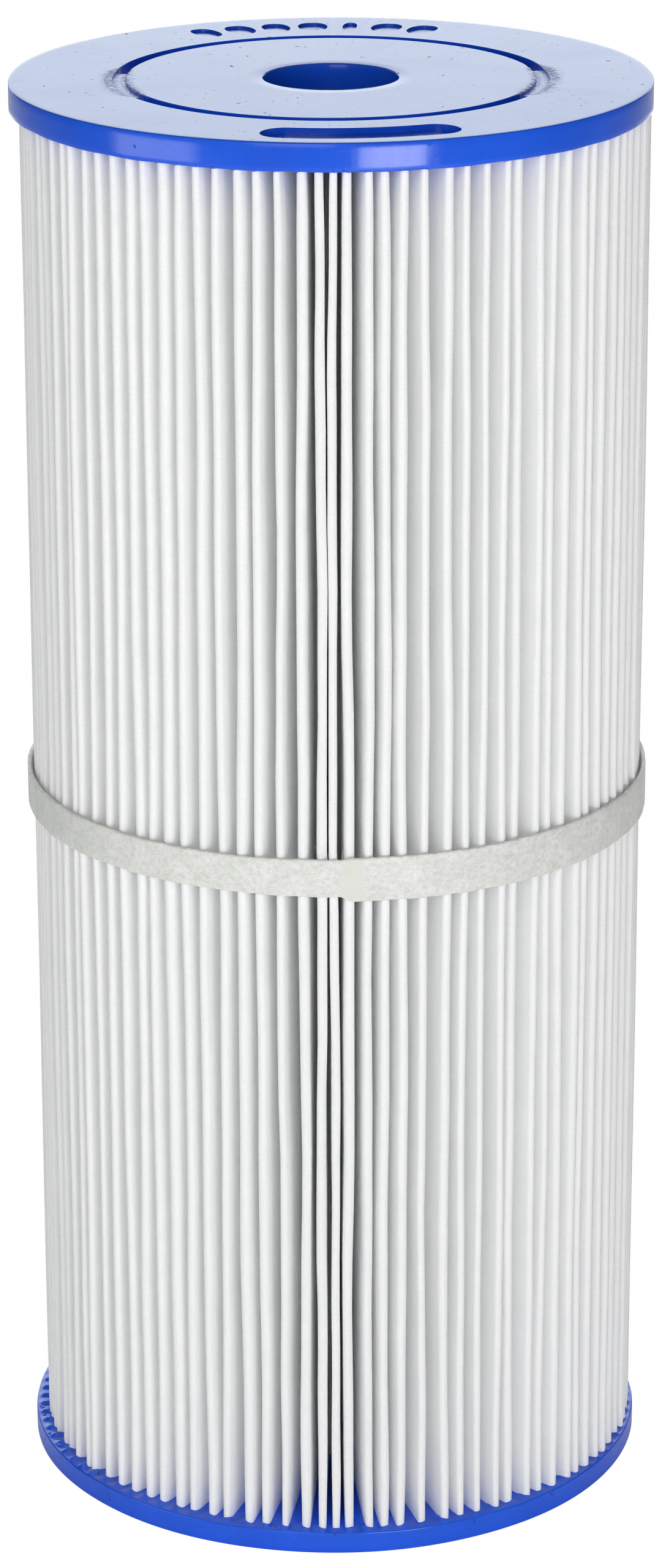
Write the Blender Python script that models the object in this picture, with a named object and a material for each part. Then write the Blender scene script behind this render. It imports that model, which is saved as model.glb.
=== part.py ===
"""A pleated filter cartridge for a pool or spa pump, standing on its bottom cap.

A sheet of polyester cloth is folded into a ring of deep pleats round a moulded grid core. A cast plastic cap
closes each end, and a cloth band round the middle keeps the pleats evenly spaced.

Metres, +Z up, origin on the axis at the foot of the bottom cap. The front of the cartridge faces -Y, and angles
about the axis are counted in degrees from the front, positive towards +X.
"""

import math

import bmesh
import bpy

# Overall
HEIGHT = 0.330
GAP = 0.0003

# End caps
TOP_CAP_RADIUS = 0.0720
TOP_CAP_DEPTH = 0.0063
BOTTOM_CAP_RADIUS = 0.0726
BOTTOM_CAP_DEPTH = 0.0052
CAP_CHAMFER = 0.0005
CAP_HOLE_RADIUS = 0.01515
CAP_SEGMENTS = 72

# The ring groove in each cap's outer face, which two shallow bridges interrupt
GROOVE_INNER_RADIUS = 0.0458
GROOVE_OUTER_RADIUS = 0.0488
GROOVE_DEPTH = 0.0026
GROOVE_FRONT_DEG = (-65, 66)
GROOVE_BACK_DEG = (102, 261)
BRIDGE_DEPTH = 0.0008

# The curved recess in the front of the top cap
RECESS_MIDDLE_RADIUS = 0.0619
RECESS_HALF_WIDTH = 0.0053
RECESS_DEG = (-14, 26)
RECESS_DEPTH = 0.0010

# Moulded grid core
CORE_OUTER_RADIUS = 0.03175
CORE_WALL = 0.0025
CORE_JOINT_WALL = 0.0010
CORE_JOINT_LENGTH = 0.005
CORE_BEDDING = 0.0022
CORE_SECTIONS = ("core_lower_section", "core_middle_section", "core_upper_section")
CORE_RIBS = 9
CORE_WINDOW_ROWS = 4
CORE_RING_WIDTH = 0.005

# Pleated cloth
CLOTH = 0.00055
PLEATS = 100
PLEAT_TIP_RADIUS = 0.0709
PLEAT_ROOT_RADIUS = CORE_OUTER_RADIUS + GAP
TIP_FOLD_RADIUS = 0.0008
ROOT_FOLD_RADIUS = 0.0005
TIP_STEPS = 3
ROOT_STEPS = 1

# The strip that joins the ends of the cloth, at the back
SEAM_DEG = 180
SEAM_STEM = 0.0008
SEAM_STEM_DEPTH = 0.009
SEAM_HEAD_WIDTH = 0.0034
SEAM_HEAD = 0.0008

# Band round the pleats
BAND_INNER_RADIUS = PLEAT_TIP_RADIUS + 0.00035
BAND_THICKNESS = 0.0011
BAND_WIDTH = 0.0100
BAND_MIDDLE = 0.1655
BAND_SEGMENTS = 120
LAP_DEG = (0, 6)
LAP_RISE = 0.0006

CLOTH_WHITE = (0.86, 0.87, 0.86)
CAP_BLUE = (0.02, 0.11, 0.60)
CORE_GREY = (0.72, 0.74, 0.76)
SEAM_CREAM = (0.80, 0.79, 0.72)


def clear_scene():
    for old in list(bpy.data.objects):
        bpy.data.objects.remove(old, do_unlink=True)


def finish(name, colour, roughness):
    """A plain material with one colour."""
    made = bpy.data.materials.new(name)
    made.use_nodes = True
    shader = made.node_tree.nodes["Principled BSDF"]
    shader.inputs["Base Color"].default_value = (*colour, 1)
    shader.inputs["Roughness"].default_value = roughness
    shader.inputs["Metallic"].default_value = 0
    return made


def at(radius, degrees, z):
    """The point at this radius, angle from the front, and height."""
    turn = math.radians(degrees)
    return (radius * math.sin(turn), -radius * math.cos(turn), z)


def place(name, points, faces, material, sharp_deg=40):
    """An object from points and faces, with its faces turned outwards and its round sides smooth."""
    mesh = bpy.data.meshes.new(name)
    mesh.from_pydata(points, [], faces)
    solid = bmesh.new()
    solid.from_mesh(mesh)
    bmesh.ops.recalc_face_normals(solid, faces=solid.faces)
    solid.to_mesh(mesh)
    solid.free()
    mesh.shade_smooth()
    mesh.set_sharp_from_angle(angle=math.radians(sharp_deg))
    if material:
        mesh.materials.append(material)
    made = bpy.data.objects.new(name, mesh)
    bpy.context.collection.objects.link(made)
    return made


def turned(name, profile, segments, material):
    """A ring turned about Z from a closed profile of (radius, height) points."""
    count = len(profile)
    points = [at(r, 360 * s / segments, z) for s in range(segments) for r, z in profile]
    faces = []
    for s in range(segments):
        here = s * count
        there = (s + 1) % segments * count
        for i in range(count):
            j = (i + 1) % count
            faces.append((here + i, there + i, there + j, here + j))
    return place(name, points, faces, material)


def prism(name, outline, low, high, material=None):
    """An outline of (x, y) points, extruded from low to high."""
    count = len(outline)
    points = [(x, y, z) for z in (low, high) for x, y in outline]
    faces = [(i, (i + 1) % count, (i + 1) % count + count, i + count) for i in range(count)]
    faces.append(tuple(range(count)))
    faces.append(tuple(range(count, 2 * count)))
    return place(name, points, faces, material)


def ring_slot(inner, outer, start_deg, end_deg, step_deg):
    """The outline of a stretch of a ring, square at its ends."""
    steps = max(2, round((end_deg - start_deg) / step_deg))
    angles = [start_deg + (end_deg - start_deg) * i / steps for i in range(steps + 1)]
    out = [at(outer, a, 0)[:2] for a in angles]
    back = [at(inner, a, 0)[:2] for a in reversed(angles)]
    return out + back


def round_ended_slot(middle, half_width, start_deg, end_deg, step_deg, end_steps):
    """The outline of a stretch of a ring whose ends are half circles."""
    inset = math.degrees(half_width / middle)
    first, last = start_deg + inset, end_deg - inset
    outline = ring_slot(middle - half_width, middle + half_width, first, last, step_deg)
    side = len(outline) // 2

    def cap(centre_deg, begin, turn):
        x, y, _ = at(middle, centre_deg, 0)
        for i in range(1, end_steps):
            a = math.radians(centre_deg - 90 + begin + turn * 180 * i / end_steps)
            yield (x + half_width * math.cos(a), y + half_width * math.sin(a))

    return outline[:side] + list(cap(last, 0, 1)) + outline[side:] + list(cap(first, 180, 1))


def cut(solid, outline, low, high):
    """Cuts a prism out of a solid with a Boolean that stays on it."""
    cutter = prism(f"{solid.name}_cutter_{len(solid.modifiers)}", outline, low, high)
    cutter.hide_render = True
    cutter.display_type = "WIRE"
    step = solid.modifiers.new(cutter.name, "BOOLEAN")
    step.operation = "DIFFERENCE"
    step.solver = "EXACT"
    step.object = cutter


def cap_profile(radius, inner_face, outer_face):
    """Half section of a cap. Its inner face has the channel that the core's end is bedded in."""
    up = 1 if outer_face > inner_face else -1
    edge = up * CAP_CHAMFER
    floor = inner_face + up * (CORE_BEDDING + GAP)
    channel_in = CORE_OUTER_RADIUS - CORE_WALL - GAP
    channel_out = CORE_OUTER_RADIUS + GAP
    return [
        (CAP_HOLE_RADIUS, inner_face),
        (channel_in, inner_face),
        (channel_in, floor),
        (channel_out, floor),
        (channel_out, inner_face),
        (radius - CAP_CHAMFER, inner_face),
        (radius, inner_face + edge),
        (radius, outer_face - edge),
        (radius - CAP_CHAMFER, outer_face),
        (CAP_HOLE_RADIUS + CAP_CHAMFER, outer_face),
        (CAP_HOLE_RADIUS, outer_face - edge),
    ]


def end_cap(name, radius, inner_face, outer_face, material):
    """A cap with the interrupted ring groove in its outer face."""
    cap = turned(name, cap_profile(radius, inner_face, outer_face), CAP_SEGMENTS, material)
    up = 1 if outer_face > inner_face else -1
    beyond = outer_face + up * 0.001
    deep = outer_face - up * GROOVE_DEPTH
    shallow = outer_face - up * BRIDGE_DEPTH
    front, back = GROOVE_FRONT_DEG, GROOVE_BACK_DEG
    for start, end in (front, back):
        outline = ring_slot(GROOVE_INNER_RADIUS, GROOVE_OUTER_RADIUS, start, end, 5)
        cut(cap, outline, min(deep, beyond), max(deep, beyond))
    for start, end in ((front[1], back[0]), (back[1] - 360, front[0])):
        outline = ring_slot(GROOVE_INNER_RADIUS + GAP, GROOVE_OUTER_RADIUS - GAP, start - 1, end + 1, 5)
        cut(cap, outline, min(shallow, beyond), max(shallow, beyond))
    return cap


def top_end_cap(material):
    inner_face = HEIGHT - TOP_CAP_DEPTH
    cap = end_cap("top_end_cap", TOP_CAP_RADIUS, inner_face, HEIGHT, material)
    outline = round_ended_slot(RECESS_MIDDLE_RADIUS, RECESS_HALF_WIDTH, *RECESS_DEG, 4, 6)
    cut(cap, outline, HEIGHT - RECESS_DEPTH, HEIGHT + 0.001)


def bottom_end_cap(material):
    end_cap("bottom_end_cap", BOTTOM_CAP_RADIUS, BOTTOM_CAP_DEPTH, 0.0, material)


def grid_section(name, low, high, spigot, socket, material):
    """One length of the core: a tube of ribs and rings with open windows between them.

    The tube is a grid of cells round the axis and up it. A rib is one cell wide and a window two. A solid cell shows a face on the outside and one on the
    inside, and a wall stands wherever a solid cell meets a window. A spigot at the foot is the inner part of the
    wall carried down, and a socket at the head is the inner part left out.
    """
    inner = CORE_OUTER_RADIUS - CORE_WALL
    step = inner + CORE_JOINT_WALL
    turns = 3 * CORE_RIBS
    grid_low = low + (CORE_JOINT_LENGTH if spigot else 0)
    grid_high = high - (CORE_JOINT_LENGTH if socket else 0)
    clear = (grid_high - grid_low - CORE_RING_WIDTH * (CORE_WINDOW_ROWS + 1)) / CORE_WINDOW_ROWS
    heights = [grid_low]
    for row in range(CORE_WINDOW_ROWS):
        heights += [heights[-1] + CORE_RING_WIDTH, heights[-1] + CORE_RING_WIDTH + clear]
    heights.append(grid_high)
    rows = len(heights) - 1

    points, faces, index = [], [], {}

    def point(radius, turn, z):
        key = (round(radius, 7), turn % turns, round(z, 7))
        if key not in index:
            index[key] = len(points)
            points.append(at(radius, 360 * (turn - 0.5) / turns, z))
        return index[key]

    def wall(radius, turn, z0, z1):
        faces.append([point(radius, turn, z0), point(radius, turn + 1, z0),
                      point(radius, turn + 1, z1), point(radius, turn, z1)])

    def ledge(r0, r1, turn, z):
        faces.append([point(r0, turn, z), point(r1, turn, z),
                      point(r1, turn + 1, z), point(r0, turn + 1, z)])

    def solid(turn, row):
        return not (0 <= row < rows) or turn % 3 == 0 or row % 2 == 0

    for turn in range(turns):
        for row in range(rows):
            z0, z1 = heights[row], heights[row + 1]
            if solid(turn, row):
                wall(CORE_OUTER_RADIUS, turn, z0, z1)
                wall(inner, turn, z0, z1)
                continue
            ledge(inner, CORE_OUTER_RADIUS, turn, z0)
            ledge(inner, CORE_OUTER_RADIUS, turn, z1)
            for side in (turn, turn + 1):
                if solid(side if side > turn else turn - 1, row):
                    faces.append([point(inner, side, z0), point(CORE_OUTER_RADIUS, side, z0),
                                  point(CORE_OUTER_RADIUS, side, z1), point(inner, side, z1)])
        if spigot:
            tip = low + GAP
            wall(inner, turn, tip, grid_low)
            wall(step - GAP, turn, tip, grid_low)
            ledge(inner, step - GAP, turn, tip)
            ledge(step - GAP, CORE_OUTER_RADIUS, turn, grid_low)
        else:
            ledge(inner, CORE_OUTER_RADIUS, turn, grid_low)
        if socket:
            brim = high - GAP
            wall(CORE_OUTER_RADIUS, turn, grid_high, brim)
            wall(step, turn, grid_high, brim)
            ledge(step, CORE_OUTER_RADIUS, turn, brim)
            ledge(inner, step, turn, grid_high)
        else:
            ledge(inner, CORE_OUTER_RADIUS, turn, grid_high)
    return place(name, points, faces, material)


def core(material):
    """Three sections, each plugged into the one below."""
    low = BOTTOM_CAP_DEPTH - CORE_BEDDING
    high = HEIGHT - TOP_CAP_DEPTH + CORE_BEDDING
    length = (high - low) / len(CORE_SECTIONS)
    for i, name in enumerate(CORE_SECTIONS):
        foot = low + i * length
        head = foot + length
        first, last = i == 0, i == len(CORE_SECTIONS) - 1
        if not first:
            foot -= CORE_JOINT_LENGTH
        grid_section(name, foot, head, not first, not last, material)


def fold(centre_radius, degrees, bend, tip, steps):
    """Points round one fold on both faces of the cloth, as pairs of (away from the axis, towards the axis)."""
    direction = 1 if tip else -1
    turn = math.radians(degrees)
    out = (math.sin(turn), -math.cos(turn))
    along = (math.cos(turn), math.sin(turn))
    away = bend + direction * CLOTH / 2
    towards = bend - direction * CLOTH / 2
    pairs = []
    for i in range(steps + 1):
        b = math.pi * (i / steps - 0.5)
        pair = []
        for radius in (away, towards):
            rise = centre_radius + direction * radius * math.cos(b)
            side = radius * math.sin(b)
            pair.append((rise * out[0] + side * along[0], rise * out[1] + side * along[1]))
        pairs.append(pair)
    return pairs


def free_end(side):
    """The end of the cloth beside the seam strip, on one side of it, as a pair of points."""
    turn = math.radians(SEAM_DEG)
    out = (math.sin(turn), -math.cos(turn))
    along = (math.cos(turn), math.sin(turn))
    radius = PLEAT_TIP_RADIUS - SEAM_HEAD - GAP
    near = SEAM_STEM / 2 + GAP
    pair = []
    for offset in (near + CLOTH, near):
        shift = side * offset
        pair.append((radius * out[0] + shift * along[0], radius * out[1] + shift * along[1]))
    return pair


def pleated_media(material):
    """The folded cloth: a strip that runs from one side of the seam round to the other."""
    pitch = 360 / PLEATS
    tip_centre = PLEAT_TIP_RADIUS - CLOTH / 2 - TIP_FOLD_RADIUS
    root_centre = PLEAT_ROOT_RADIUS + CLOTH / 2 + ROOT_FOLD_RADIUS
    pairs = [free_end(1)]
    for i in range(PLEATS):
        root_deg = SEAM_DEG + (i + 0.5) * pitch
        pairs += fold(root_centre, root_deg, ROOT_FOLD_RADIUS, False, ROOT_STEPS)
        if i < PLEATS - 1:
            pairs += fold(tip_centre, root_deg + pitch / 2, TIP_FOLD_RADIUS, True, TIP_STEPS)
    pairs.append(free_end(-1))

    low = BOTTOM_CAP_DEPTH + GAP
    high = HEIGHT - TOP_CAP_DEPTH - GAP
    count = len(pairs)
    points = [(*pair[side], z) for z in (low, high) for side in (0, 1) for pair in pairs]
    away_low, towards_low, away_high, towards_high = (n * count for n in range(4))
    faces = []
    for i in range(count - 1):
        j = i + 1
        faces.append((away_low + i, away_low + j, away_high + j, away_high + i))
        faces.append((towards_low + i, towards_high + i, towards_high + j, towards_low + j))
        faces.append((away_low + i, towards_low + i, towards_low + j, away_low + j))
        faces.append((away_high + i, away_high + j, towards_high + j, towards_high + i))
    for i in (0, count - 1):
        faces.append((away_low + i, away_high + i, towards_high + i, towards_low + i))
    place("pleated_media", points, faces, material)


def media_seam(material):
    """A T-shaped strip: its stem stands between the ends of the cloth, and its head covers their edges."""
    back = PLEAT_TIP_RADIUS - SEAM_HEAD
    stem, head = SEAM_STEM / 2, SEAM_HEAD_WIDTH / 2
    outline = [
        (stem, back - SEAM_STEM_DEPTH),
        (stem, back),
        (head, back),
        (head * 0.6, PLEAT_TIP_RADIUS),
        (-head * 0.6, PLEAT_TIP_RADIUS),
        (-head, back),
        (-stem, back),
        (-stem, back - SEAM_STEM_DEPTH),
    ]
    prism("media_seam", outline, BOTTOM_CAP_DEPTH + GAP, HEIGHT - TOP_CAP_DEPTH - GAP, material)


def centre_band(material):
    """A strap round the pleats, thicker where its ends are fused together in front."""
    low = -BAND_WIDTH / 2
    high = BAND_WIDTH / 2
    rows = []
    for s in range(BAND_SEGMENTS):
        degrees = 360 * s / BAND_SEGMENTS
        lapped = LAP_DEG[0] <= degrees <= LAP_DEG[1]
        outer = BAND_INNER_RADIUS + BAND_THICKNESS + (LAP_RISE if lapped else 0)
        rows.append([at(BAND_INNER_RADIUS, degrees, low), at(outer, degrees, low),
                     at(outer, degrees, high), at(BAND_INNER_RADIUS, degrees, high)])
    points = [p for row in rows for p in row]
    faces = []
    for s in range(BAND_SEGMENTS):
        here = 4 * s
        there = (s + 1) % BAND_SEGMENTS * 4
        faces += [(here + i, there + i, there + (i + 1) % 4, here + (i + 1) % 4) for i in range(4)]
    band = place("centre_band", points, faces, material)
    band.location.z = BAND_MIDDLE


def build():
    clear_scene()
    blue = finish("cap_plastic", CAP_BLUE, 0.3)
    top_end_cap(blue)
    bottom_end_cap(blue.copy())
    core(finish("core_plastic", CORE_GREY, 0.45))
    pleated_media(finish("media_cloth", CLOTH_WHITE, 0.9))
    media_seam(finish("seam_resin", SEAM_CREAM, 0.5))
    centre_band(finish("band_cloth", CLOTH_WHITE, 0.85))


build()
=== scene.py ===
import math

import bpy
import numpy as np
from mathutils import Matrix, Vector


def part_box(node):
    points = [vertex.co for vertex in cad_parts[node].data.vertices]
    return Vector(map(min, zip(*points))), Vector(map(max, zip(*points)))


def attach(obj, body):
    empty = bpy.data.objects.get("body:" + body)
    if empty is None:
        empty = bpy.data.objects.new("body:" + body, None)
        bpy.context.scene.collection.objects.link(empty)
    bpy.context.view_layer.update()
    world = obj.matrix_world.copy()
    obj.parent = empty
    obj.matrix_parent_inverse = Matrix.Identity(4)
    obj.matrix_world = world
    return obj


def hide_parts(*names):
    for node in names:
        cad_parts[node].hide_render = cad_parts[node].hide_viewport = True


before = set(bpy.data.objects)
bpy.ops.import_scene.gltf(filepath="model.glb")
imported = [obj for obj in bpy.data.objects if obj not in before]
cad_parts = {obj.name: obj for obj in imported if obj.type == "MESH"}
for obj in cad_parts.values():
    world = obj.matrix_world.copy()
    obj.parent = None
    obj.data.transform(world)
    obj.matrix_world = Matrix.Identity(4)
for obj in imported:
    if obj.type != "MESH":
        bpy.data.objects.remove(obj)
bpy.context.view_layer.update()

# A pleated filter cartridge, standing on its bottom cap with its front towards -Y. Angles about the axis are
# in degrees from the front, positive towards +X. Lengths are in metres, and MM is one millimetre.
MM = 0.001

TOP_LOW, TOP_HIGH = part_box("top_end_cap")
BOTTOM_LOW, BOTTOM_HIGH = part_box("bottom_end_cap")
CLOTH_LOW, CLOTH_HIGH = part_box("pleated_media")
BAND_LOW, BAND_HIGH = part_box("centre_band")
TOP_RADIUS = TOP_HIGH.x
BOTTOM_RADIUS = BOTTOM_HIGH.x
TIP_RADIUS = 0.5 * (CLOTH_HIGH.x - CLOTH_LOW.x)
HEIGHT = TOP_HIGH.z

# Pleats
PLEATS = 100
PITCH_DEG = 360 / PLEATS
SEAM_DEG = 180
CLOTH = 0.55 * MM
ROOT_RADIUS = 32.05 * MM
TIP_FOLD = 0.80 * MM
ROOT_FOLD = 0.50 * MM
SIDE_SHIFT = 0.9 * MM
BEDDED = 0.9 * MM
CLOTH_ROWS = 30

# Caps
HOLE_RADIUS = 15.15 * MM
GROOVE_IN, GROOVE_OUT = 45.8 * MM, 48.8 * MM
GROOVE_DEPTH = 2.6 * MM
BRIDGE_DEPTH = 0.8 * MM
BRIDGES_DEG = ((66, 102), (261, 295))
RECESS_DEG = (-14, 26)
RECESS_MIDDLE, RECESS_HALF, RECESS_DEPTH = 61.9 * MM, 5.3 * MM, 1.3 * MM
RECESS_END_DEG = 4.9
MARKS_DEG = (155, 213)
MARK_WIDTHS_DEG = (6.4, 6.8, 3.2, 6.6, 6.2, 6.4, 5.8)
MARK_MIDDLE, MARK_HALF, MARK_DEPTH = 59.8 * MM, 5.0 * MM, 0.6 * MM
EDGE = 0.12 * MM

# Band
BAND_GAP = 0.42 * MM
BAND_THICK = 1.0 * MM
BAND_STEP_DEG = 0.5
LAP_DEG = (0.4, 6.2)

# Stage
FLOOR_REACH = 14
BOUNCE_REACH = 6
WALL_RADIUS = 13.8
WALL_HEIGHTS = (-0.5, 14)

CORE_SECTIONS = ("core_lower_section", "core_middle_section", "core_upper_section")


# ---------------------------------------------------------------- shapes worked out on grids

def on_circle(radius, degrees):
    """x and y at this radius and at this angle from the front."""
    turn = np.radians(degrees)
    return radius * np.sin(turn), -radius * np.cos(turn)


def ease(value, low, high):
    """0 below low, 1 above high, and a smooth S between them."""
    t = np.clip((value - low) / (high - low), 0, 1)
    return t * t * (3 - 2 * t)


def wander(rng, count, along, waves):
    """One smooth random line for each of count members, as rows of along by columns of members.

    Each line is a sum of sines. waves lists (wavelength, size), and every member draws its own phase and a
    wavelength within a quarter of the one given.
    """
    total = np.zeros((len(along), count))
    for length, size in waves:
        own = length * rng.uniform(0.75, 1.25, count)
        phase = rng.uniform(0, 2 * np.pi, count)
        total += size * np.sin(2 * np.pi * along[:, None] / own + phase)
    return total


def round_wander(rng, degrees, orders, size):
    """A smooth random line round the axis that closes on itself: a sum of cosines of whole orders."""
    turn = np.radians(degrees)
    total = np.zeros_like(turn, dtype=float)
    for order in orders:
        total += size * rng.uniform(0.5, 1) * np.cos(order * turn + rng.uniform(0, 2 * np.pi))
    return total


def grid_faces(rows, columns, wrap_rows, wrap_columns, first=0):
    """The four-cornered faces of a grid of points, numbered row by row from first."""
    i = np.arange(rows if wrap_rows else rows - 1)[:, None]
    j = np.arange(columns if wrap_columns else columns - 1)[None, :]
    i2, j2 = (i + 1) % rows, (j + 1) % columns
    corners = [i * columns + j, i2 * columns + j, i2 * columns + j2, i * columns + j2]
    return first + np.stack(np.broadcast_arrays(*corners), axis=-1).reshape(-1, 4)


def piece(name, points, faces, material, sharp_deg=35, uv=None, marks=None):
    """An object made of points and faces. uv holds each point's place on the flat piece, in metres.

    marks names point attributes, each with one number for each point.
    """
    mesh = bpy.data.meshes.new(name)
    mesh.from_pydata(points.reshape(-1, 3).tolist(), [], [list(face) for face in faces])
    mesh.shade_smooth()
    mesh.set_sharp_from_angle(angle=math.radians(sharp_deg))
    corner = np.zeros(len(mesh.loops), np.int32)
    mesh.loops.foreach_get("vertex_index", corner)
    if uv is not None:
        layer = mesh.uv_layers.new(name="lie")
        layer.data.foreach_set("uv", uv.reshape(-1, 2)[corner].astype(np.float32).ravel())
    for key, values in (marks or {}).items():
        attribute = mesh.attributes.new(key, "FLOAT", "POINT")
        attribute.data.foreach_set("value", values.astype(np.float32).ravel())
    mesh.materials.append(material)
    made = bpy.data.objects.new(name, mesh)
    bpy.context.collection.objects.link(made)
    return made


# ---------------------------------------------------------------- materials

def add(tree, kind, inputs=None, **settings):
    """A shader node with its settings. Each input is a plain value, or an output to link it to."""
    made = tree.nodes.new(f"ShaderNode{kind}")
    for key, value in settings.items():
        setattr(made, key, value)
    for key, value in (inputs or {}).items():
        if isinstance(value, bpy.types.NodeSocket):
            tree.links.new(value, made.inputs[key])
        else:
            made.inputs[key].default_value = value
    return made


def finish(name, roughness, **sockets):
    """A material, its tree and its shader, with the shader's plain values set on its own sockets."""
    made = bpy.data.materials.new(name)
    made.use_nodes = True
    tree = made.node_tree
    shader = tree.nodes["Principled BSDF"]
    shader.inputs["Roughness"].default_value = roughness
    for key, value in sockets.items():
        shader.inputs[key.replace("_", " ")].default_value = value
    return made, tree, shader


def noise(tree, place, scale, detail=2.0, rough=0.5, distortion=0.0):
    """Noise from 0 to 1 at this many cells to the metre."""
    inputs = {"Vector": place, "Scale": scale, "Detail": detail, "Roughness": rough,
              "Distortion": distortion}
    return add(tree, "TexNoise", inputs).outputs["Fac"]


def stretched(tree, place, turn, scale):
    """Coordinates turned by turn radians, then squeezed, so that noise on them runs in streaks."""
    turned = add(tree, "Mapping", {"Vector": place, "Rotation": turn}).outputs["Vector"]
    return add(tree, "Mapping", {"Vector": turned, "Scale": scale}).outputs["Vector"]


def ramp(tree, value, low, high, out_low=0.0, out_high=1.0):
    """value between low and high, carried to the range out_low to out_high and kept in it."""
    inputs = {0: value, 1: low, 2: high, 3: out_low, 4: out_high}
    return add(tree, "MapRange", inputs).outputs[0]


def mix(tree, amount, first, second):
    """A colour between two colours."""
    made = add(tree, "Mix", data_type="RGBA")
    for index, value in ((0, amount), (6, first), (7, second)):
        if isinstance(value, bpy.types.NodeSocket):
            tree.links.new(value, made.inputs[index])
        else:
            made.inputs[index].default_value = value
    return made.outputs[2]


def maths(tree, operation, first, second):
    """One sum or comparison of two numbers."""
    return add(tree, "Math", {0: first, 1: second}, operation=operation).outputs[0]


def bump(tree, height, strength, distance, under=None):
    """A bumped normal. distance is the height in metres that 1 stands for, and under a normal to add to."""
    inputs = {"Height": height, "Strength": strength, "Distance": distance}
    if under is not None:
        inputs["Normal"] = under
    return add(tree, "Bump", inputs).outputs["Normal"]


def fibres(tree, place, per_metre, turns, length):
    """Random fibres across each other: the brightest of several streaky noises, each turned its own way."""
    best = None
    for turn in turns:
        lie = stretched(tree, place, (0, 0, turn), (1, 1 / length, 1))
        one = noise(tree, lie, per_metre, 1.0)
        best = one if best is None else maths(tree, "MAXIMUM", best, one)
    return best


def cloth_finish():
    """Spunbond polyester: white, with fine fibres pressed flat, a felted grain and thin cloudy places."""
    made, tree, shader = finish("media_cloth", 0.62, Specular_IOR_Level=0.35, Sheen_Weight=0.15,
                                Sheen_Roughness=0.5)
    lie = add(tree, "UVMap", uv_map="lie").outputs["UV"]
    thread = fibres(tree, lie, 3600, (0.5, 1.35, 2.2, 2.9), 6)
    clouds = noise(tree, lie, 120, 3.0)
    grain = noise(tree, lie, 1900, 3.0, 0.65)
    tone = mix(tree, ramp(tree, clouds, 0.3, 0.7), (0.935, 0.94, 0.94, 1), (0.965, 0.968, 0.965, 1))
    tone = mix(tree, ramp(tree, grain, 0.30, 0.52, 0.55, 0.0), tone, (0.86, 0.865, 0.865, 1))
    tree.links.new(tone, shader.inputs["Base Color"])
    tree.links.new(ramp(tree, thread, 0.64, 0.76, 0.66, 0.18), shader.inputs["Roughness"])
    soft = bump(tree, noise(tree, lie, 420, 2.0), 0.4, 0.25 * MM)
    felted = bump(tree, grain, 0.5, 0.07 * MM, soft)
    tree.links.new(bump(tree, thread, 0.5, 0.08 * MM, felted), shader.inputs["Normal"])
    return made


def band_finish():
    """Thick spunbond strap: milky, glossier than the pleats, its fibres glinting, the glints partly real
    gloss and partly a painted highlight in the colour, melted at the lap.
    """
    made, tree, shader = finish("band_cloth", 0.4, Specular_IOR_Level=0.5, Subsurface_Weight=0.25,
                                Subsurface_Scale=0.8 * MM, Subsurface_Radius=(1.0, 1.0, 0.9))
    lie = add(tree, "UVMap", uv_map="lie").outputs["UV"]
    melt = add(tree, "Attribute", attribute_name="melt").outputs["Fac"]
    open_cloth = ramp(tree, melt, 0, 1, 1, 0.1)
    fine = fibres(tree, lie, 3400, (1.15, 1.45, 1.75, 0.6, 2.5), 8)
    coarse = fibres(tree, lie, 1900, (1.0, 1.5, 2.0), 6)
    thread = maths(tree, "MAXIMUM", fine, maths(tree, "MULTIPLY", coarse, 0.97))
    painted_glint = maths(tree, "MULTIPLY", ramp(tree, thread, 0.61, 0.74), open_cloth)
    clouds = noise(tree, lie, 160, 3.0)
    mottle = noise(tree, lie, 750, 3.0, 0.6)
    tone = mix(tree, ramp(tree, clouds, 0.35, 0.65), (0.72, 0.735, 0.69, 1), (0.83, 0.84, 0.80, 1))
    murky = maths(tree, "MULTIPLY", ramp(tree, mottle, 0.36, 0.56, 0.7, 0.0), open_cloth)
    tone = mix(tree, murky, tone, (0.64, 0.655, 0.61, 1))
    # Painted highlight: the glinting fibre streaks are painted near white in the base colour; the roughness
    # below also makes them truly glossier.
    tone = mix(tree, ramp(tree, painted_glint, 0, 1, 0, 0.75), tone, (0.96, 0.96, 0.95, 1))
    tone = mix(tree, ramp(tree, melt, 0, 1, 0, 0.8), tone, (0.76, 0.765, 0.69, 1))
    tree.links.new(tone, shader.inputs["Base Color"])
    tree.links.new(ramp(tree, painted_glint, 0, 1, 0.5, 0.16), shader.inputs["Roughness"])
    rise = maths(tree, "MULTIPLY", thread, open_cloth)
    soft = bump(tree, noise(tree, lie, 350, 2.0), 0.4, 0.25 * MM)
    tree.links.new(bump(tree, rise, 0.8, 0.12 * MM, soft), shader.inputs["Normal"])
    return made


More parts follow.
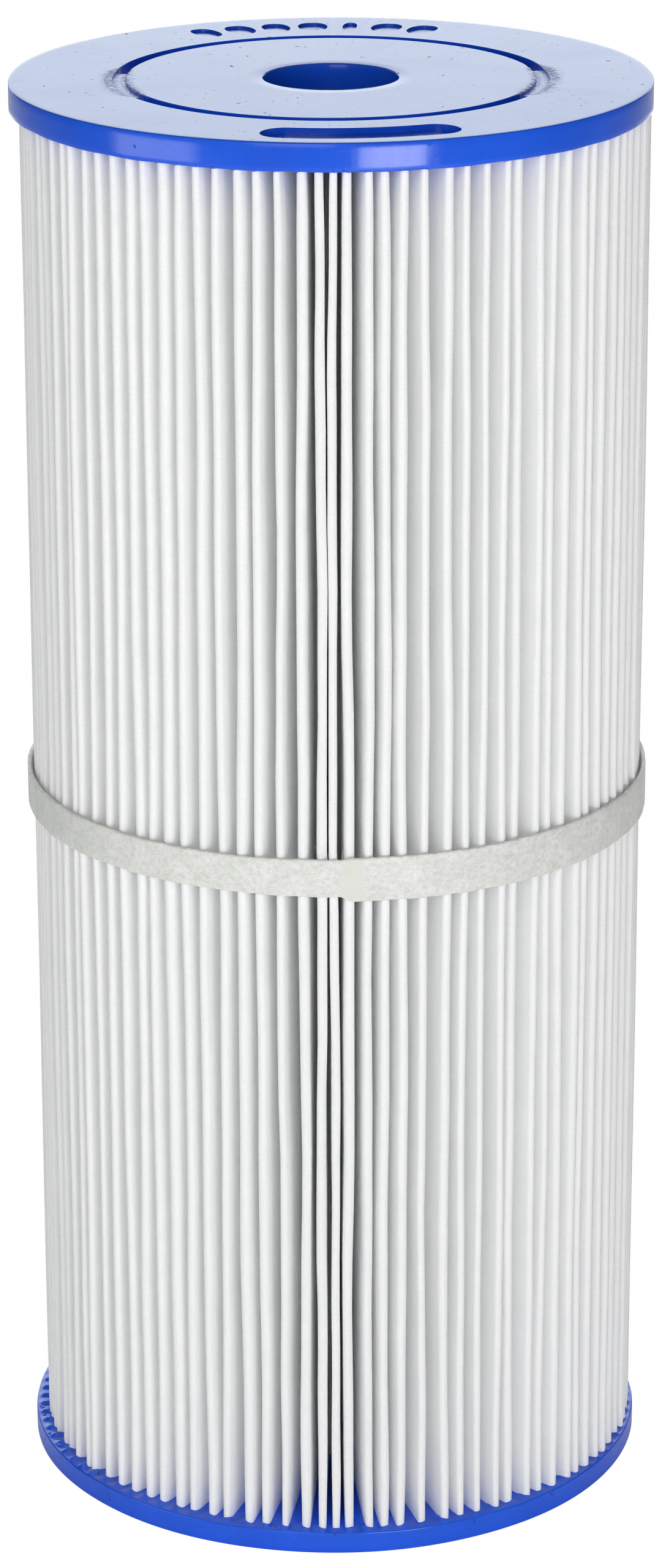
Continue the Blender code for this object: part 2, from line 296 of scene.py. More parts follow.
def cap_finish(name):
    """Cast blue plastic: glossy, finely scratched and pitted, and scuffed pale where the mould gripped it.

    Faint streaks run out from the axis, because the noise is read along each point's own direction from it.
    """
    made, tree, shader = finish(name, 0.15, Specular_IOR_Level=0.5, IOR=1.5)
    place = add(tree, "TexCoord").outputs["Object"]
    scuff = add(tree, "Attribute", attribute_name="scuff").outputs["Fac"]
    torn = ramp(tree, noise(tree, place, 900, 3.0, 0.6, 1.0), 0.42, 0.58)
    pale = maths(tree, "MULTIPLY", scuff, torn)
    clouds = noise(tree, place, 60, 3.0)
    tone = mix(tree, ramp(tree, clouds, 0.3, 0.7), (0.008, 0.095, 0.73, 1), (0.011, 0.112, 0.82, 1))
    pits = ramp(tree, noise(tree, place, 560, 1.0, 0.5, 0.6), 0.745, 0.775)
    tone = mix(tree, ramp(tree, pits, 0, 1, 0, 0.6), tone, (0.006, 0.03, 0.20, 1))
    tone = mix(tree, ramp(tree, pale, 0, 1, 0, 0.75), tone, (0.55, 0.62, 0.80, 1))
    tree.links.new(tone, shader.inputs["Base Color"])
    lines = stretched(tree, place, (0, 0, 0.9), (1, 0.05, 1))
    scratch = ramp(tree, noise(tree, lines, 1500, 2.0), 0.60, 0.72)
    flat = add(tree, "Mapping", {"Vector": place, "Scale": (1, 1, 0)}).outputs["Vector"]
    facing = add(tree, "VectorMath", {0: flat}, operation="NORMALIZE").outputs[0]
    streaks = ramp(tree, noise(tree, facing, 70, 3.0), 0.35, 0.70, 0.0, 0.07)
    rubbed = maths(tree, "ADD", ramp(tree, noise(tree, place, 45, 2.0), 0.35, 0.7, 0.10, 0.15), streaks)
    rubbed = maths(tree, "ADD", rubbed, maths(tree, "MULTIPLY", scratch, 0.06))
    worn = maths(tree, "ADD", maths(tree, "MULTIPLY", pale, 0.45), maths(tree, "MULTIPLY", pits, 0.35))
    tree.links.new(maths(tree, "ADD", rubbed, worn), shader.inputs["Roughness"])
    wavy = bump(tree, noise(tree, place, 90, 2.0), 0.12, 0.15 * MM)
    fine = bump(tree, scratch, 0.15, 0.02 * MM, wavy)
    pitted = bump(tree, maths(tree, "SUBTRACT", 1.0, pits), 0.8, 0.10 * MM, fine)
    tree.links.new(bump(tree, pale, 0.8, 0.12 * MM, pitted), shader.inputs["Normal"])
    return made


def core_finish():
    """Moulded core plastic: off-white, satin, with faint flow marks."""
    made, tree, shader = finish("core_plastic", 0.45, Specular_IOR_Level=0.45)
    place = add(tree, "TexCoord").outputs["Object"]
    flow = noise(tree, stretched(tree, place, (0, 0, 0), (1, 1, 0.3)), 220, 3.0)
    tone = mix(tree, ramp(tree, flow, 0.3, 0.7), (0.66, 0.68, 0.70, 1), (0.76, 0.77, 0.78, 1))
    tree.links.new(tone, shader.inputs["Base Color"])
    tree.links.new(ramp(tree, flow, 0.3, 0.7, 0.38, 0.52), shader.inputs["Roughness"])
    tree.links.new(bump(tree, noise(tree, place, 1800, 2.0), 0.2, 0.03 * MM), shader.inputs["Normal"])
    return made


def resin_finish():
    """Set resin of the side seam: cream, slightly clear, lumpy."""
    made, tree, shader = finish("seam_resin", 0.35, Specular_IOR_Level=0.5, Subsurface_Weight=0.3,
                                Subsurface_Scale=1.0 * MM, Subsurface_Radius=(1.0, 0.9, 0.6))
    place = add(tree, "TexCoord").outputs["Object"]
    lumps = noise(tree, place, 260, 3.0)
    tone = mix(tree, ramp(tree, lumps, 0.3, 0.7), (0.70, 0.69, 0.60, 1), (0.82, 0.81, 0.73, 1))
    tree.links.new(tone, shader.inputs["Base Color"])
    tree.links.new(ramp(tree, lumps, 0.3, 0.7, 0.28, 0.45), shader.inputs["Roughness"])
    tree.links.new(bump(tree, lumps, 0.5, 0.3 * MM), shader.inputs["Normal"])
    return made


# ---------------------------------------------------------------- the folded cloth

def gathered(degrees):
    """How far each tip shifts towards the front: a hyperbolic tangent of its angle, faded out by a bell."""
    return -1.2 * np.tanh((degrees - 1) / 3.5) * np.exp(-(degrees / 35) ** 2)


def tip_reach(degrees):
    """Radius of the pleats' tips. The ring of pleats sits a little to the +X side of the caps."""
    return TIP_RADIUS - 0.15 * MM + SIDE_SHIFT * np.sin(np.radians(degrees))


def cloth_heights():
    """Heights of the cloth's rows, closer together near both caps."""
    s = np.linspace(0, 1, CLOTH_ROWS)
    low, high = BOTTOM_HIGH.z - BEDDED, TOP_LOW.z + BEDDED
    return low + (high - low) * (s - 0.4 * np.sin(2 * np.pi * s) / (2 * np.pi))


def fold_arc(centre, outward, bend, side, steps):
    """Both faces of the cloth round one fold, for many folds at once.

    centre and outward are rows by folds by (x, y). The cloth turns half a circle of radius bend about
    centre, from one side of outward to the other. side is 1 at a tip, which bulges outward, and -1 at a root.
    The result is rows by folds by steps by faces by (x, y), and the face away from the axis comes first.
    """
    b = np.linspace(-np.pi / 2, np.pi / 2, steps)
    across = np.stack([-outward[..., 1], outward[..., 0]], axis=-1)
    faces = np.stack([bend + side * CLOTH / 2, bend - side * CLOTH / 2], axis=-1)
    rise = side * faces[:, :, None, :, None] * np.cos(b)[None, None, :, None, None]
    run = faces[:, :, None, :, None] * np.sin(b)[None, None, :, None, None]
    return centre[:, :, None, None] + rise * outward[:, :, None, None] + run * across[:, :, None, None]


def leg(start, end, shares, bow):
    """Points between the ends of two folds, on both faces, bowed sideways by a half sine of height bow."""
    t = np.asarray(shares)[None, None, :, None, None]
    run = end - start
    length = np.linalg.norm(run, axis=-1, keepdims=True)
    sideways = np.stack([-run[..., 1], run[..., 0]], axis=-1) / length
    bulge = bow[:, :, None, None, None] * np.sin(np.pi * t)
    return start[:, :, None] * (1 - t) + end[:, :, None] * t + bulge * sideways[:, :, None]


def pleated_cloth(material):
    """The sheet as one closed strip that runs from one side of the seam round to the other.

    Every row is the same run of folds, and each pleat's angle, reach, thickness and bow wander a little
    from pleat to pleat and with height. The pleats are pinched slightly where they enter the caps.
    """
    rng = np.random.default_rng(16)
    z = cloth_heights()
    rows = len(z)
    even = SEAM_DEG + PITCH_DEG * np.arange(1, PLEATS) - 360
    tip_deg = even + gathered(even) + np.clip(rng.normal(0, 0.42, PLEATS - 1), -0.75, 0.75)
    tip_deg = tip_deg[None] + wander(rng, PLEATS - 1, z, ((0.26, 0.22), (0.10, 0.10), (0.045, 0.05)))
    bend = TIP_FOLD * np.clip(rng.normal(1, 0.13, PLEATS - 1), 0.72, 1.28)[None]
    bend = bend + wander(rng, PLEATS - 1, z, ((0.12, 0.05 * MM), (0.05, 0.035 * MM)))
    from_cap = np.minimum(z - z[0], z[-1] - z)
    bend = bend * (0.80 + 0.20 * ease(from_cap, 0, 14 * MM))[:, None]
    reach = tip_reach(tip_deg) + np.clip(rng.normal(0, 0.16 * MM, PLEATS - 1), -0.4 * MM, 0.3 * MM)[None]
    reach = reach + wander(rng, PLEATS - 1, z, ((0.16, 0.07 * MM),))

    def spot(radius, degrees):
        return np.stack(np.broadcast_arrays(*on_circle(radius, degrees)), axis=-1)

    foot = spot(ROOT_RADIUS, even)[None]
    head = spot(reach - CLOTH / 2 - bend, tip_deg)
    lean = (head - foot) / np.linalg.norm(head - foot, axis=-1, keepdims=True)
    tips = fold_arc(head, lean, bend, 1, 7)

    root_deg = SEAM_DEG - 360 + PITCH_DEG * (np.arange(PLEATS) + 0.5)
    root_out = np.broadcast_to(spot(1.0, root_deg)[None], (rows, PLEATS, 2))
    root_centre = spot(ROOT_RADIUS + CLOTH / 2 + ROOT_FOLD, root_deg)[None]
    root_bend = np.full((rows, PLEATS), ROOT_FOLD)
    roots = fold_arc(root_centre, root_out, root_bend, -1, 3)

    shares = (0.25, 0.55, 0.84)
    bow = wander(rng, PLEATS - 1, z, ((0.3, 0.16 * MM), (0.09, 0.06 * MM)))
    rising = leg(roots[:, :-1, -1], tips[:, :, 0], shares, bow)
    falling = leg(tips[:, :, -1], roots[:, 1:, 0], tuple(1 - s for s in reversed(shares)), -bow)
    middle = np.concatenate([roots[:, :-1], rising, tips, falling], axis=2).reshape(rows, -1, 2, 2)

    seam_out = spot(1.0, SEAM_DEG)
    seam_side = np.array([-seam_out[1], seam_out[0]])
    end_radius = TIP_RADIUS - 1.1 * MM
    near = 0.7 * MM
    start_pair = seam_out * end_radius + seam_side * np.array([near + CLOTH, near])[:, None]
    end_pair = seam_out * end_radius - seam_side * np.array([near + CLOTH, near])[:, None]
    start_pair = np.broadcast_to(start_pair, (rows, 1, 2, 2))
    end_pair = np.broadcast_to(end_pair, (rows, 1, 2, 2))
    flat_bow = np.zeros((rows, 1))
    first = leg(start_pair, roots[:, :1, 0], (0.16, 0.45, 0.75), flat_bow).reshape(rows, -1, 2, 2)
    last = leg(roots[:, -1:, -1], end_pair, (0.25, 0.55, 0.84), flat_bow).reshape(rows, -1, 2, 2)
    strip = np.concatenate([start_pair, first, middle, roots[:, -1], last, end_pair], axis=1)

    count = strip.shape[1]
    loop = np.concatenate([strip[:, :, 0], strip[:, ::-1, 1]], axis=1)
    points = np.concatenate([loop, np.broadcast_to(z[:, None, None], (rows, 2 * count, 1))], axis=-1)
    faces = [grid_faces(rows, 2 * count, False, True)[:, ::-1]]
    i = np.arange(count - 1)
    under = np.stack([i, i + 1, 2 * count - 2 - i, 2 * count - 1 - i], axis=-1)
    faces += [under[:, ::-1], under + (rows - 1) * 2 * count]

    centre = strip.mean(axis=2).mean(axis=0)
    run = np.concatenate([[0], np.cumsum(np.linalg.norm(np.diff(centre, axis=0), axis=-1))])
    u = np.concatenate([run, run[::-1]])
    uv = np.stack(np.broadcast_arrays(u[None], z[:, None]), axis=-1)
    made = piece("filter_cloth", points, np.concatenate(faces), material, 50, uv)
    return made, float(run[-1]), float(z[-1] - z[0])


def seam_strip(material):
    """The T of resin at the back: an outline of a stem and a rounded head, carried up in uneven rows."""
    rng = np.random.default_rng(5)
    z = np.linspace(BOTTOM_HIGH.z - BEDDED, TOP_LOW.z + BEDDED, 90)
    stem, head, deep = 0.42 * MM, 1.75 * MM, 9 * MM
    back = TIP_RADIUS - 1.0 * MM
    turn = np.linspace(0, np.pi, 13)
    side = np.concatenate([[stem, stem], head * np.cos(turn), [-stem, -stem]])
    out = np.concatenate([[back - deep, back - 0.05 * MM], back + 0.85 * MM * np.sin(turn) ** 0.7,
                          [back - 0.05 * MM, back - deep]])
    swell = 1 + wander(rng, 1, z, ((0.03, 0.06), (0.012, 0.04)))
    lift = wander(rng, 1, z, ((0.05, 0.05 * MM), (0.009, 0.03 * MM)))
    shift = wander(rng, 1, z, ((0.12, 0.12 * MM),))
    across = side[None] * swell + shift
    radius = out[None] + lift * (out > back)[None]
    seam_x, seam_y = on_circle(1.0, SEAM_DEG)
    x = radius * seam_x - across * seam_y
    y = radius * seam_y + across * seam_x
    points = np.stack(np.broadcast_arrays(x, y, z[:, None]), axis=-1)
    count = len(side)
    faces = grid_faces(len(z), count, False, True).tolist()
    faces.append(list(range(count)))
    faces.append(list(range(len(z) * count - 1, (len(z) - 1) * count - 1, -1)))
    return piece("seam_strip", points, faces, material, 40)


# ---------------------------------------------------------------- the caps

def apart(columns, degrees):
    """How far each column stands from an angle, in degrees from -180 to 180."""
    return (columns - degrees + 180) % 360 - 180


def inside(columns, start, end):
    """Which columns lie between two angles, counted in the positive direction."""
    return (columns - start) % 360 < (end - start) % 360


class Slot:
    """A round-ended slot that bends round the axis, between two angles and two radii, with its depth."""

    def __init__(self, start, end, middle, half, depth, end_deg):
        self.centre, self.reach = (start + end) / 2, (end - start) / 2
        self.middle, self.half, self.depth, self.end_deg = middle, half, depth, end_deg

    def columns(self):
        """Angles that follow the round ends, closer together where the outline turns in."""
        t = self.reach - self.end_deg * (1 - np.sin(np.radians(np.linspace(0, 90, 9))))
        return np.concatenate([self.centre - t, self.centre + t])

    def width(self, columns):
        """1 along the straight part, falling to 0 at each end as a quarter of a circle does."""
        over = (np.abs(apart(columns, self.centre)) - self.reach + self.end_deg) / self.end_deg
        return np.sqrt(1 - np.clip(over, 0, 1) ** 2)


def front_recess():
    """The long plain recess in the front of the top cap's face."""
    return [Slot(*RECESS_DEG, RECESS_MIDDLE, RECESS_HALF, RECESS_DEPTH, RECESS_END_DEG)]


def back_marks():
    """A row of plain short slots at the back of the top cap's face."""
    first, last = MARKS_DEG
    count = len(MARK_WIDTHS_DEG)
    middles = first + (last - first) / count * (np.arange(count) + 0.5)
    return [Slot(middle - wide / 2, middle + wide / 2, MARK_MIDDLE, MARK_HALF, MARK_DEPTH, wide * 0.42)
            for middle, wide in zip(middles, MARK_WIDTHS_DEG)]


def slot_lines(columns, slots):
    """Middle radius, half width and depth at each column of the ring of lines that carries the slots.

    Between slots the lines open out again over about a degree, where the face is flat and their place free.
    """
    middle = np.full(len(columns), 60.8 * MM)
    half = np.full(len(columns), 4.8 * MM)
    depth = np.zeros(len(columns))
    for slot in slots:
        away = np.abs(apart(columns, slot.centre)) - slot.reach
        near = 1 - ease(away, 0.0, 1.2)
        width = slot.width(columns)
        middle = middle + (slot.middle - middle) * near
        half = half + (slot.half * width - half) * near
        depth = np.where(away < -0.01, slot.depth, depth)
    return middle, half, depth


def groove_depth(columns):
    """Depth of the ring groove: full along its two arcs, and shallow where the two bridges cross it."""
    depth = np.full(len(columns), GROOVE_DEPTH)
    for start, end in BRIDGES_DEG:
        depth = np.where(inside(columns, start, end), BRIDGE_DEPTH, depth)
    return depth


def bridge_wear(columns):
    """1 in the middle of each bridge, falling to 0 a few degrees beyond its ends."""
    worn = np.zeros(len(columns))
    for start, end in BRIDGES_DEG:
        away = np.abs(apart(columns, (start + end) / 2)) - (end - start) / 2
        worn = np.maximum(worn, 1 - ease(away, -3, 5))
    return worn


def scallops(columns, radius, edge):
    """The resin's skin between the pleats: a low ridge against every pleat and a hollow between two."""
    phase = (columns - SEAM_DEG - gathered(apart(columns, 0))) / PITCH_DEG
    ridge = np.abs(np.cos(np.pi * phase)) ** 3
    fade_in = ease(radius, edge - 4.6 * MM, edge - 3.2 * MM)
    fade_out = 1 - ease(radius, edge - 1.9 * MM, edge - 0.5 * MM)
    return 0.55 * MM * ridge * (fade_in * fade_out)


def cast_cap(name, outer_radius, inner, outer, step_deg, slots, material, seed):
    """A cast cap as one closed profile turned round the axis, whose points shift from column to column.

    The profile goes up the hole's wall, out across the outer face, over the rim and back along the inner
    face. On the outer face a line's height is the face less the smaller of its own drop and the depth of the
    groove or slot there, so that the ends of the groove and the slots are steps between two columns.
    """
    rng = np.random.default_rng(seed)
    up = 1 if outer > inner else -1
    ends = np.array([angle for pair in BRIDGES_DEG for angle in pair])
    around = [np.arange(0, 360, step_deg)] + [ends + shift for shift in (-0.9, -0.2, -0.03, 0.03, 0.2, 0.9)]
    columns = np.unique(np.round(np.concatenate(around + [slot.columns() for slot in slots]) % 360, 3))
    flat = np.zeros(len(columns))
    worn = bridge_wear(columns)
    torn = worn * (0.55 + 0.45 * round_wander(rng, columns, (37, 53, 71, 97), 0.6))
    rows = []

    def line(radius, height, scuff=0.0):
        rows.append(np.stack([radius + flat, height + flat, scuff + flat]))

    def corner(radius, height, bend, start_deg, end_deg, steps=4):
        for turn in np.radians(np.linspace(start_deg, end_deg, steps)):
            line(radius + bend * np.cos(turn), height + up * bend * np.sin(turn))

    bend = 0.45 * MM
    line(HOLE_RADIUS + 0.15 * MM, inner)
    line(HOLE_RADIUS, inner + up * 0.15 * MM)
    line(HOLE_RADIUS, (inner + outer) / 2)
    corner(HOLE_RADIUS + bend, outer - up * bend, bend, 180, 90)
    for radius in (19 * MM, 27 * MM, 36 * MM, GROOVE_IN - 2.2 * MM):
        line(radius, outer)

    depth = groove_depth(columns)
    chewed = 0.35 * MM * np.clip(torn, 0, 1)
    line(GROOVE_IN - 0.9 * MM - chewed, outer, 0.25 * worn)
    line(GROOVE_IN - EDGE - chewed * 0.6, outer - up * 0.3 * chewed, worn)
    line(GROOVE_IN, outer - up * np.minimum(depth, EDGE + chewed), worn)
    line(GROOVE_IN + 0.05 * MM, outer - up * depth, 0.6 * worn)
    line((GROOVE_IN + GROOVE_OUT) / 2, outer - up * depth, 0.1 * worn)
    line(GROOVE_OUT - 0.05 * MM, outer - up * depth, 0.6 * worn)
    line(GROOVE_OUT, outer - up * np.minimum(depth, EDGE + 0.25 * MM * worn), worn)
    line(GROOVE_OUT + EDGE + 0.4 * MM * worn, outer - up * 0.20 * MM * worn, worn)
    line(GROOVE_OUT + 0.3 * MM + (0.9 * MM + chewed) * worn, outer - up * 0.04 * MM * worn, worn)
    line(GROOVE_OUT + 0.8 * MM + (1.0 * MM + chewed) * worn, outer, 0.3 * worn)
    line(GROOVE_OUT + 4.2 * MM, outer)

    middle, half, slot_depth = slot_lines(columns, slots)
    soft = np.minimum(1, half / (0.6 * MM))
    for side in (-1, 1):
        steps = ((1, EDGE, 0.0), (1, 0.0, EDGE), (1, -0.05 * MM, 1.0), (0.45, 0.0, 1.0))
        for share, shift, drop in steps[::-side]:
            sunk = np.minimum(slot_depth, drop)
            line(middle + side * (share * half + shift * soft), outer - up * sunk)
    line(68.6 * MM, outer)
    line(outer_radius - 1.4 * MM, outer)

    swell = round_wander(rng, columns, (2, 3, 5, 9), 0.05 * MM)
    lower = round_wander(rng, columns, (3, 7, 11, 19, 31), 0.05 * MM)
    rim = outer_radius - 0.05 * MM + swell
    bend = 0.38 * MM
    corner(rim - bend, outer - up * bend, bend, 90, 0)
    for share in (0.3, 0.55, 0.8):
        line(rim + 0.03 * MM * share, outer + (inner - outer) * share)
    corner(rim - bend, inner + up * (bend + lower), bend, 0, -80)
    for back in (1.0, 1.7, 2.4, 3.1, 3.9, 4.8):
        radius = outer_radius - back * MM
        line(radius, inner - up * (scallops(columns, radius, outer_radius) - 0.2 * lower))
    for radius in (60 * MM, 33 * MM, 24 * MM):
        line(radius, inner)

    grid = np.stack(rows)
    x, y = on_circle(grid[:, 0], columns[None])
    points = np.stack([x, y, grid[:, 1]], axis=-1)
    faces = grid_faces(len(rows), len(columns), True, True)
    faces = faces[:, ::-1] if up < 0 else faces
    return piece(name, points, faces, material, 32, marks={"scuff": grid[:, 2].ravel()})


def resin_drops(material):
    """Drops of resin on the bottom rim's lip: low domes, each a quarter turn of rings about its top."""
    rng = np.random.default_rng(31)
    count, rings, spokes = 9, 6, 12
    degrees = rng.uniform(-86, -58, count)
    size = rng.uniform(0.35, 0.75, count) * MM
    rise = np.linspace(0, np.pi / 2, rings)[:, None]
    turn = np.linspace(0, 2 * np.pi, spokes, endpoint=False)[None]
    points, faces = [], []
    for angle, big in zip(degrees, size):
        x, y = on_circle(BOTTOM_RADIUS - rng.uniform(0.5, 1.5) * MM, angle)
        out_x, out_y = on_circle(1.0, angle)
        across = big * np.cos(rise) * np.cos(turn)
        along = 1.5 * big * np.cos(rise) * np.sin(turn)
        height = BOTTOM_HIGH.z - 0.05 * MM + 0.55 * big * np.sin(rise) + 0 * turn
        dome = np.stack([x + across * out_x - along * out_y, y + across * out_y + along * out_x, height],
                        axis=-1)
        first = sum(len(p) for p in points)
        points.append(dome[:-1].reshape(-1, 3))
        points.append(dome[-1:, 0])
        top = first + (rings - 1) * spokes
        ring = np.arange(spokes)
        last = first + (rings - 2) * spokes
        faces += grid_faces(rings - 1, spokes, False, True, first)[:, ::-1].tolist()
        faces += np.stack([last + ring, last + (ring + 1) % spokes, np.full(spokes, top)], axis=-1).tolist()
        faces.append((first + ring[::-1]).tolist())
    return piece("resin_drops", np.concatenate(points), faces, material, 50)


# ---------------------------------------------------------------- the band

def band_inner(degrees):
    """The strap's inner radius: just clear of the longest pleats, so that it can slide over them."""
    return tip_reach(degrees) + BAND_GAP


def band_strap(material):
    """The strap as a rounded oblong carried once round the pleats, thicker and lower where its end laps over.

    The oblong's sides are lines from corner to corner, and each corner is a quarter of a circle.
    """
    rng = np.random.default_rng(23)
    degrees = np.arange(-180, 180, BAND_STEP_DEG)
    start, end = LAP_DEG
    lap = ease(degrees, start, start + 2.4) * (1 - ease(degrees, end - 2.4, end))
    over = ease(degrees, start + 0.8, start + 3) * (1 - ease(degrees, 95, 150))
    inner = band_inner(degrees) + np.abs(round_wander(rng, degrees, (4, 7, 12), 0.04 * MM))
    thick = BAND_THICK * (1 + round_wander(rng, degrees, (9, 17, 41, 66), 0.03)) + 0.18 * MM * lap
    low = BAND_LOW.z + 0.95 * MM - 1.05 * MM * over
    low = low + round_wander(rng, degrees, (5, 13, 41, 90, 151), 0.05 * MM)
    high = BAND_HIGH.z - 0.45 * MM + 0.45 * MM * over
    high = high + round_wander(rng, degrees, (7, 17, 53, 111, 170), 0.05 * MM)

    bend = 0.36 * MM
    turn = np.radians(np.concatenate([np.linspace(first, first + 90, 4) for first in (0, 90, 180, 270)]))
    out = np.repeat([1, -1, -1, 1], 4)
    up = np.repeat([1, 1, -1, -1], 4)
    radius = (inner + thick / 2) + out[:, None] * (thick / 2 - bend) + bend * np.cos(turn)[:, None]
    height = (low + high) / 2 + up[:, None] * ((high - low) / 2 - bend) + bend * np.sin(turn)[:, None]
    broad_sides = {7: 8, 15: 0}
    order, share = [], []
    for index in range(16):
        order.append((index, index))
        share.append(0.0)
        if index in broad_sides:
            order += [(index, broad_sides[index])] * 3
            share += [0.25, 0.5, 0.75]
    first, second = np.array(order).T
    share = np.array(share)[:, None]
    radius = radius[first] * (1 - share) + radius[second] * share
    height = height[first] * (1 - share) + height[second] * share
    x, y = on_circle(radius, degrees[None])
    points = np.stack([x, y, height], axis=-1)
    count = len(first)
    faces = grid_faces(count, len(degrees), True, True)[:, ::-1]
    around = np.concatenate([[0], np.cumsum(np.linalg.norm(np.diff(points[0], axis=0), axis=-1))])
    lie = np.stack(np.broadcast_arrays(around[None], height), axis=-1)
    melt = np.broadcast_to(lap, (count, len(degrees))).ravel()
    made = piece("band_strap", points, faces, material, 60, lie, {"melt": melt})
    return made, float(around[-1])


def stray_fibres(material):
    """A few loose hairs standing off the strap's upper edge: thin tubes along curled quadratic paths."""
    rng = np.random.default_rng(44)
    steps, spokes, count = 14, 5, 7
    t = np.linspace(0, 1, steps)
    points, faces = [], []
    for number in range(count):
        angle = rng.uniform(-2.4, 2.2)
        radius = band_inner(angle) + BAND_THICK * rng.uniform(0.5, 1.0)
        length = rng.uniform(1.6, 5.2) * MM
        drift, curl = rng.uniform(-1.9, 1.0), rng.uniform(-1.4, 1.4)
        degrees = angle + drift * t * length / (5 * MM) + curl * t ** 2 * length / (5 * MM)
        x, y = on_circle(radius + 0.35 * MM * np.sin(np.pi * t), degrees)
        path = np.stack([x, y, BAND_HIGH.z - 0.3 * MM + length * (t - 0.25 * t ** 2)], axis=-1)
        ahead = np.gradient(path, axis=0)
        ahead /= np.linalg.norm(ahead, axis=-1, keepdims=True)
        side = np.cross(ahead, (0, 1, 0))
        side /= np.linalg.norm(side, axis=-1, keepdims=True)
        other = np.cross(ahead, side)
        turn = np.linspace(0, 2 * np.pi, spokes, endpoint=False)[None, :, None]
        thin = (0.035 * MM * (1 - 0.5 * t))[:, None, None]
        tube = path[:, None] + thin * (np.cos(turn) * side[:, None] + np.sin(turn) * other[:, None])
        first = number * steps * spokes
        points.append(tube.reshape(-1, 3))
        faces += grid_faces(steps, spokes, False, True, first)[:, ::-1].tolist()
        faces.append(list(range(first + spokes - 1, first - 1, -1)))
        faces.append(list(range(first + (steps - 1) * spokes, first + steps * spokes)))
    return piece("stray_fibres", np.concatenate(points), faces, material, 60)


# ---------------------------------------------------------------- stage

def stage_and_lights():
    """A white floor and surround, and soft lights in front, at the sides and behind.

    The floor that the camera sees takes shadows but throws no light, and one that it doesn't see throws light
    back. The key and side lights show as streaks on the rims, and the top face mirrors the back light. The
    fills light the cloth without showing in the gloss.
    """
    world = bpy.data.worlds.new("pale_room")
    bpy.context.scene.world = world
    world.use_nodes = True
    sky = world.node_tree.nodes["Background"]
    sky.inputs["Color"].default_value = (1, 1, 1, 1)
    sky.inputs["Strength"].default_value = 0.11

    white = (1, 1, 1, 1)
    paper = finish("floor_paper", 0.9, Specular_IOR_Level=0.0, Emission_Color=white, Emission_Strength=0.97,
                   Base_Color=(0.25, 0.25, 0.25, 1))[0]
    bounce = finish("floor_bounce", 0.9, Specular_IOR_Level=0.1, Base_Color=(0.93, 0.93, 0.93, 1))[0]
    surround = finish("surround_paper", 0.9, Specular_IOR_Level=0.0, Emission_Color=white,
                      Emission_Strength=1.0, Base_Color=(0, 0, 0, 1))[0]
    square = np.array([[-1, -1, 0], [1, -1, 0], [1, 1, 0], [-1, 1, 0]])
    seen = piece("floor", square * FLOOR_REACH, [[0, 1, 2, 3]], paper)
    unseen = piece("floor_bounce", square * BOUNCE_REACH, [[0, 1, 2, 3]], bounce)
    unseen.visible_camera = False
    x, y = on_circle(WALL_RADIUS, np.arange(0, 360, 10))
    wall = np.stack([np.tile(x, 2), np.tile(y, 2), np.repeat(WALL_HEIGHTS, len(x))], axis=-1)
    around = piece("surround", wall, grid_faces(2, len(x), False, True), surround)
    for made in (seen, around):
        for rays in ("diffuse", "glossy", "transmission", "shadow"):
            setattr(made, f"visible_{rays}", False)

    soft_light("key_light", 21, 0.95, 0.16, (0.38, 0.26), 2.3, (1.0, 0.985, 1.01))
    soft_light("side_light", -62, 0.85, 0.17, (0.50, 0.2), 0.85, (1.0, 1.0, 0.985))
    soft_light("back_light", 180, 2.6, 1.1, (3.0, 1.8), 29, (0.90, 0.985, 1.0))
    soft_light("front_light", -13, 1.6, 0.85, (0.8, 1.1), 4.4)
    fills = (("right_key", 42, 1.1, 1.2, 1.6), ("left_key", -18, 1.1, 1.3, 3.1),
             ("right_fill", 168, 1.5, 0.7, 8.0), ("left_fill", -168, 1.5, 0.7, 7.0))
    for name, degrees, distance, wide, watts in fills:
        soft_light(name, degrees, distance, 0.55, (wide, 0.9), watts).visible_glossy = False


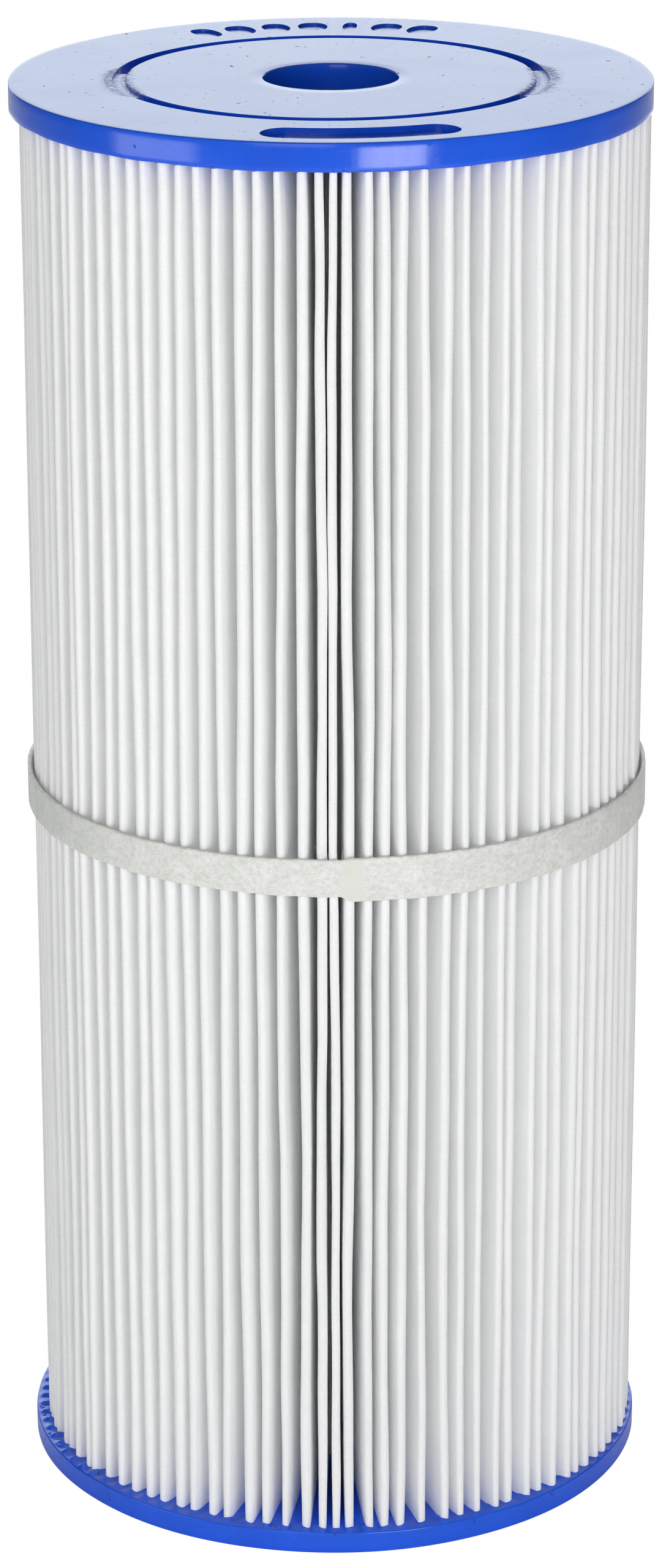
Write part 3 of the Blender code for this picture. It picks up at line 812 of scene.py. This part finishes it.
def soft_light(name, degrees, distance, height, size, watts, tint=(1, 1, 1)):
    """A rectangular light at this angle from the front and at this height, facing the axis on the level."""
    lamp = bpy.data.lights.new(name, "AREA")
    lamp.color = tint
    lamp.shape = "RECTANGLE"
    lamp.size, lamp.size_y = size
    lamp.energy = watts
    made = bpy.data.objects.new(name, lamp)
    bpy.context.collection.objects.link(made)
    x, y = on_circle(distance, degrees)
    made.location = (x, y, height)
    made.rotation_euler = (math.radians(90), 0, math.radians(degrees))
    made.visible_camera = False
    return made


def camera():
    """The camera stands in front at a long lens, a little above the top cap, and looks down."""
    lens = bpy.data.cameras.new("camera")
    lens.lens = 114.5
    lens.sensor_width = 36
    made = bpy.data.objects.new("camera", lens)
    bpy.context.collection.objects.link(made)
    made.location = (-0.0004, -1.1022, HEIGHT + 0.2164)
    made.rotation_mode = "XYZ"
    pitch, roll = math.radians(19.184), math.radians(-0.16)
    made.rotation_euler = (math.pi / 2 - pitch, 0, 0)
    made.rotation_euler.rotate_axis("Z", roll)
    bpy.context.scene.camera = made


def main():
    """Makes every piece, says what it rides on, and hides each imported part that a new piece takes the place
    of.

    White cloth in deep folds is lit mostly by light that has bounced many times, so diffuse bounces are many.
    """
    bpy.context.scene.view_settings.view_transform = "Standard"
    bpy.context.scene.cycles.max_bounces = 44
    bpy.context.scene.cycles.diffuse_bounces = 40
    camera()
    stage_and_lights()

    media, long, wide = pleated_cloth(cloth_finish())
    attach(media, "cartridge")
    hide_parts("pleated_media")

    seam = seam_strip(resin_finish())
    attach(seam, "cartridge")
    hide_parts("media_seam")

    blue = cap_finish("cap_plastic")
    slots = front_recess() + back_marks()
    top = cast_cap("top_cap", TOP_RADIUS, TOP_LOW.z, TOP_HIGH.z, 1.0, slots, blue, 3)
    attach(top, "cartridge")
    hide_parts("top_end_cap")
    foot = cast_cap("bottom_cap", BOTTOM_RADIUS, BOTTOM_HIGH.z, BOTTOM_LOW.z, 0.5, [], blue, 9)
    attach(foot, "cartridge")
    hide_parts("bottom_end_cap")
    drops = resin_drops(blue)
    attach(drops, "cartridge")

    strap_cloth = band_finish()
    strap, round_long = band_strap(strap_cloth)
    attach(strap, "band")
    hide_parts("centre_band")
    hairs = stray_fibres(strap_cloth)
    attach(hairs, "band")

    grid = core_finish()
    for name in CORE_SECTIONS:
        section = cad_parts[name]
        section.data.materials.clear()
        section.data.materials.append(grid)


main()
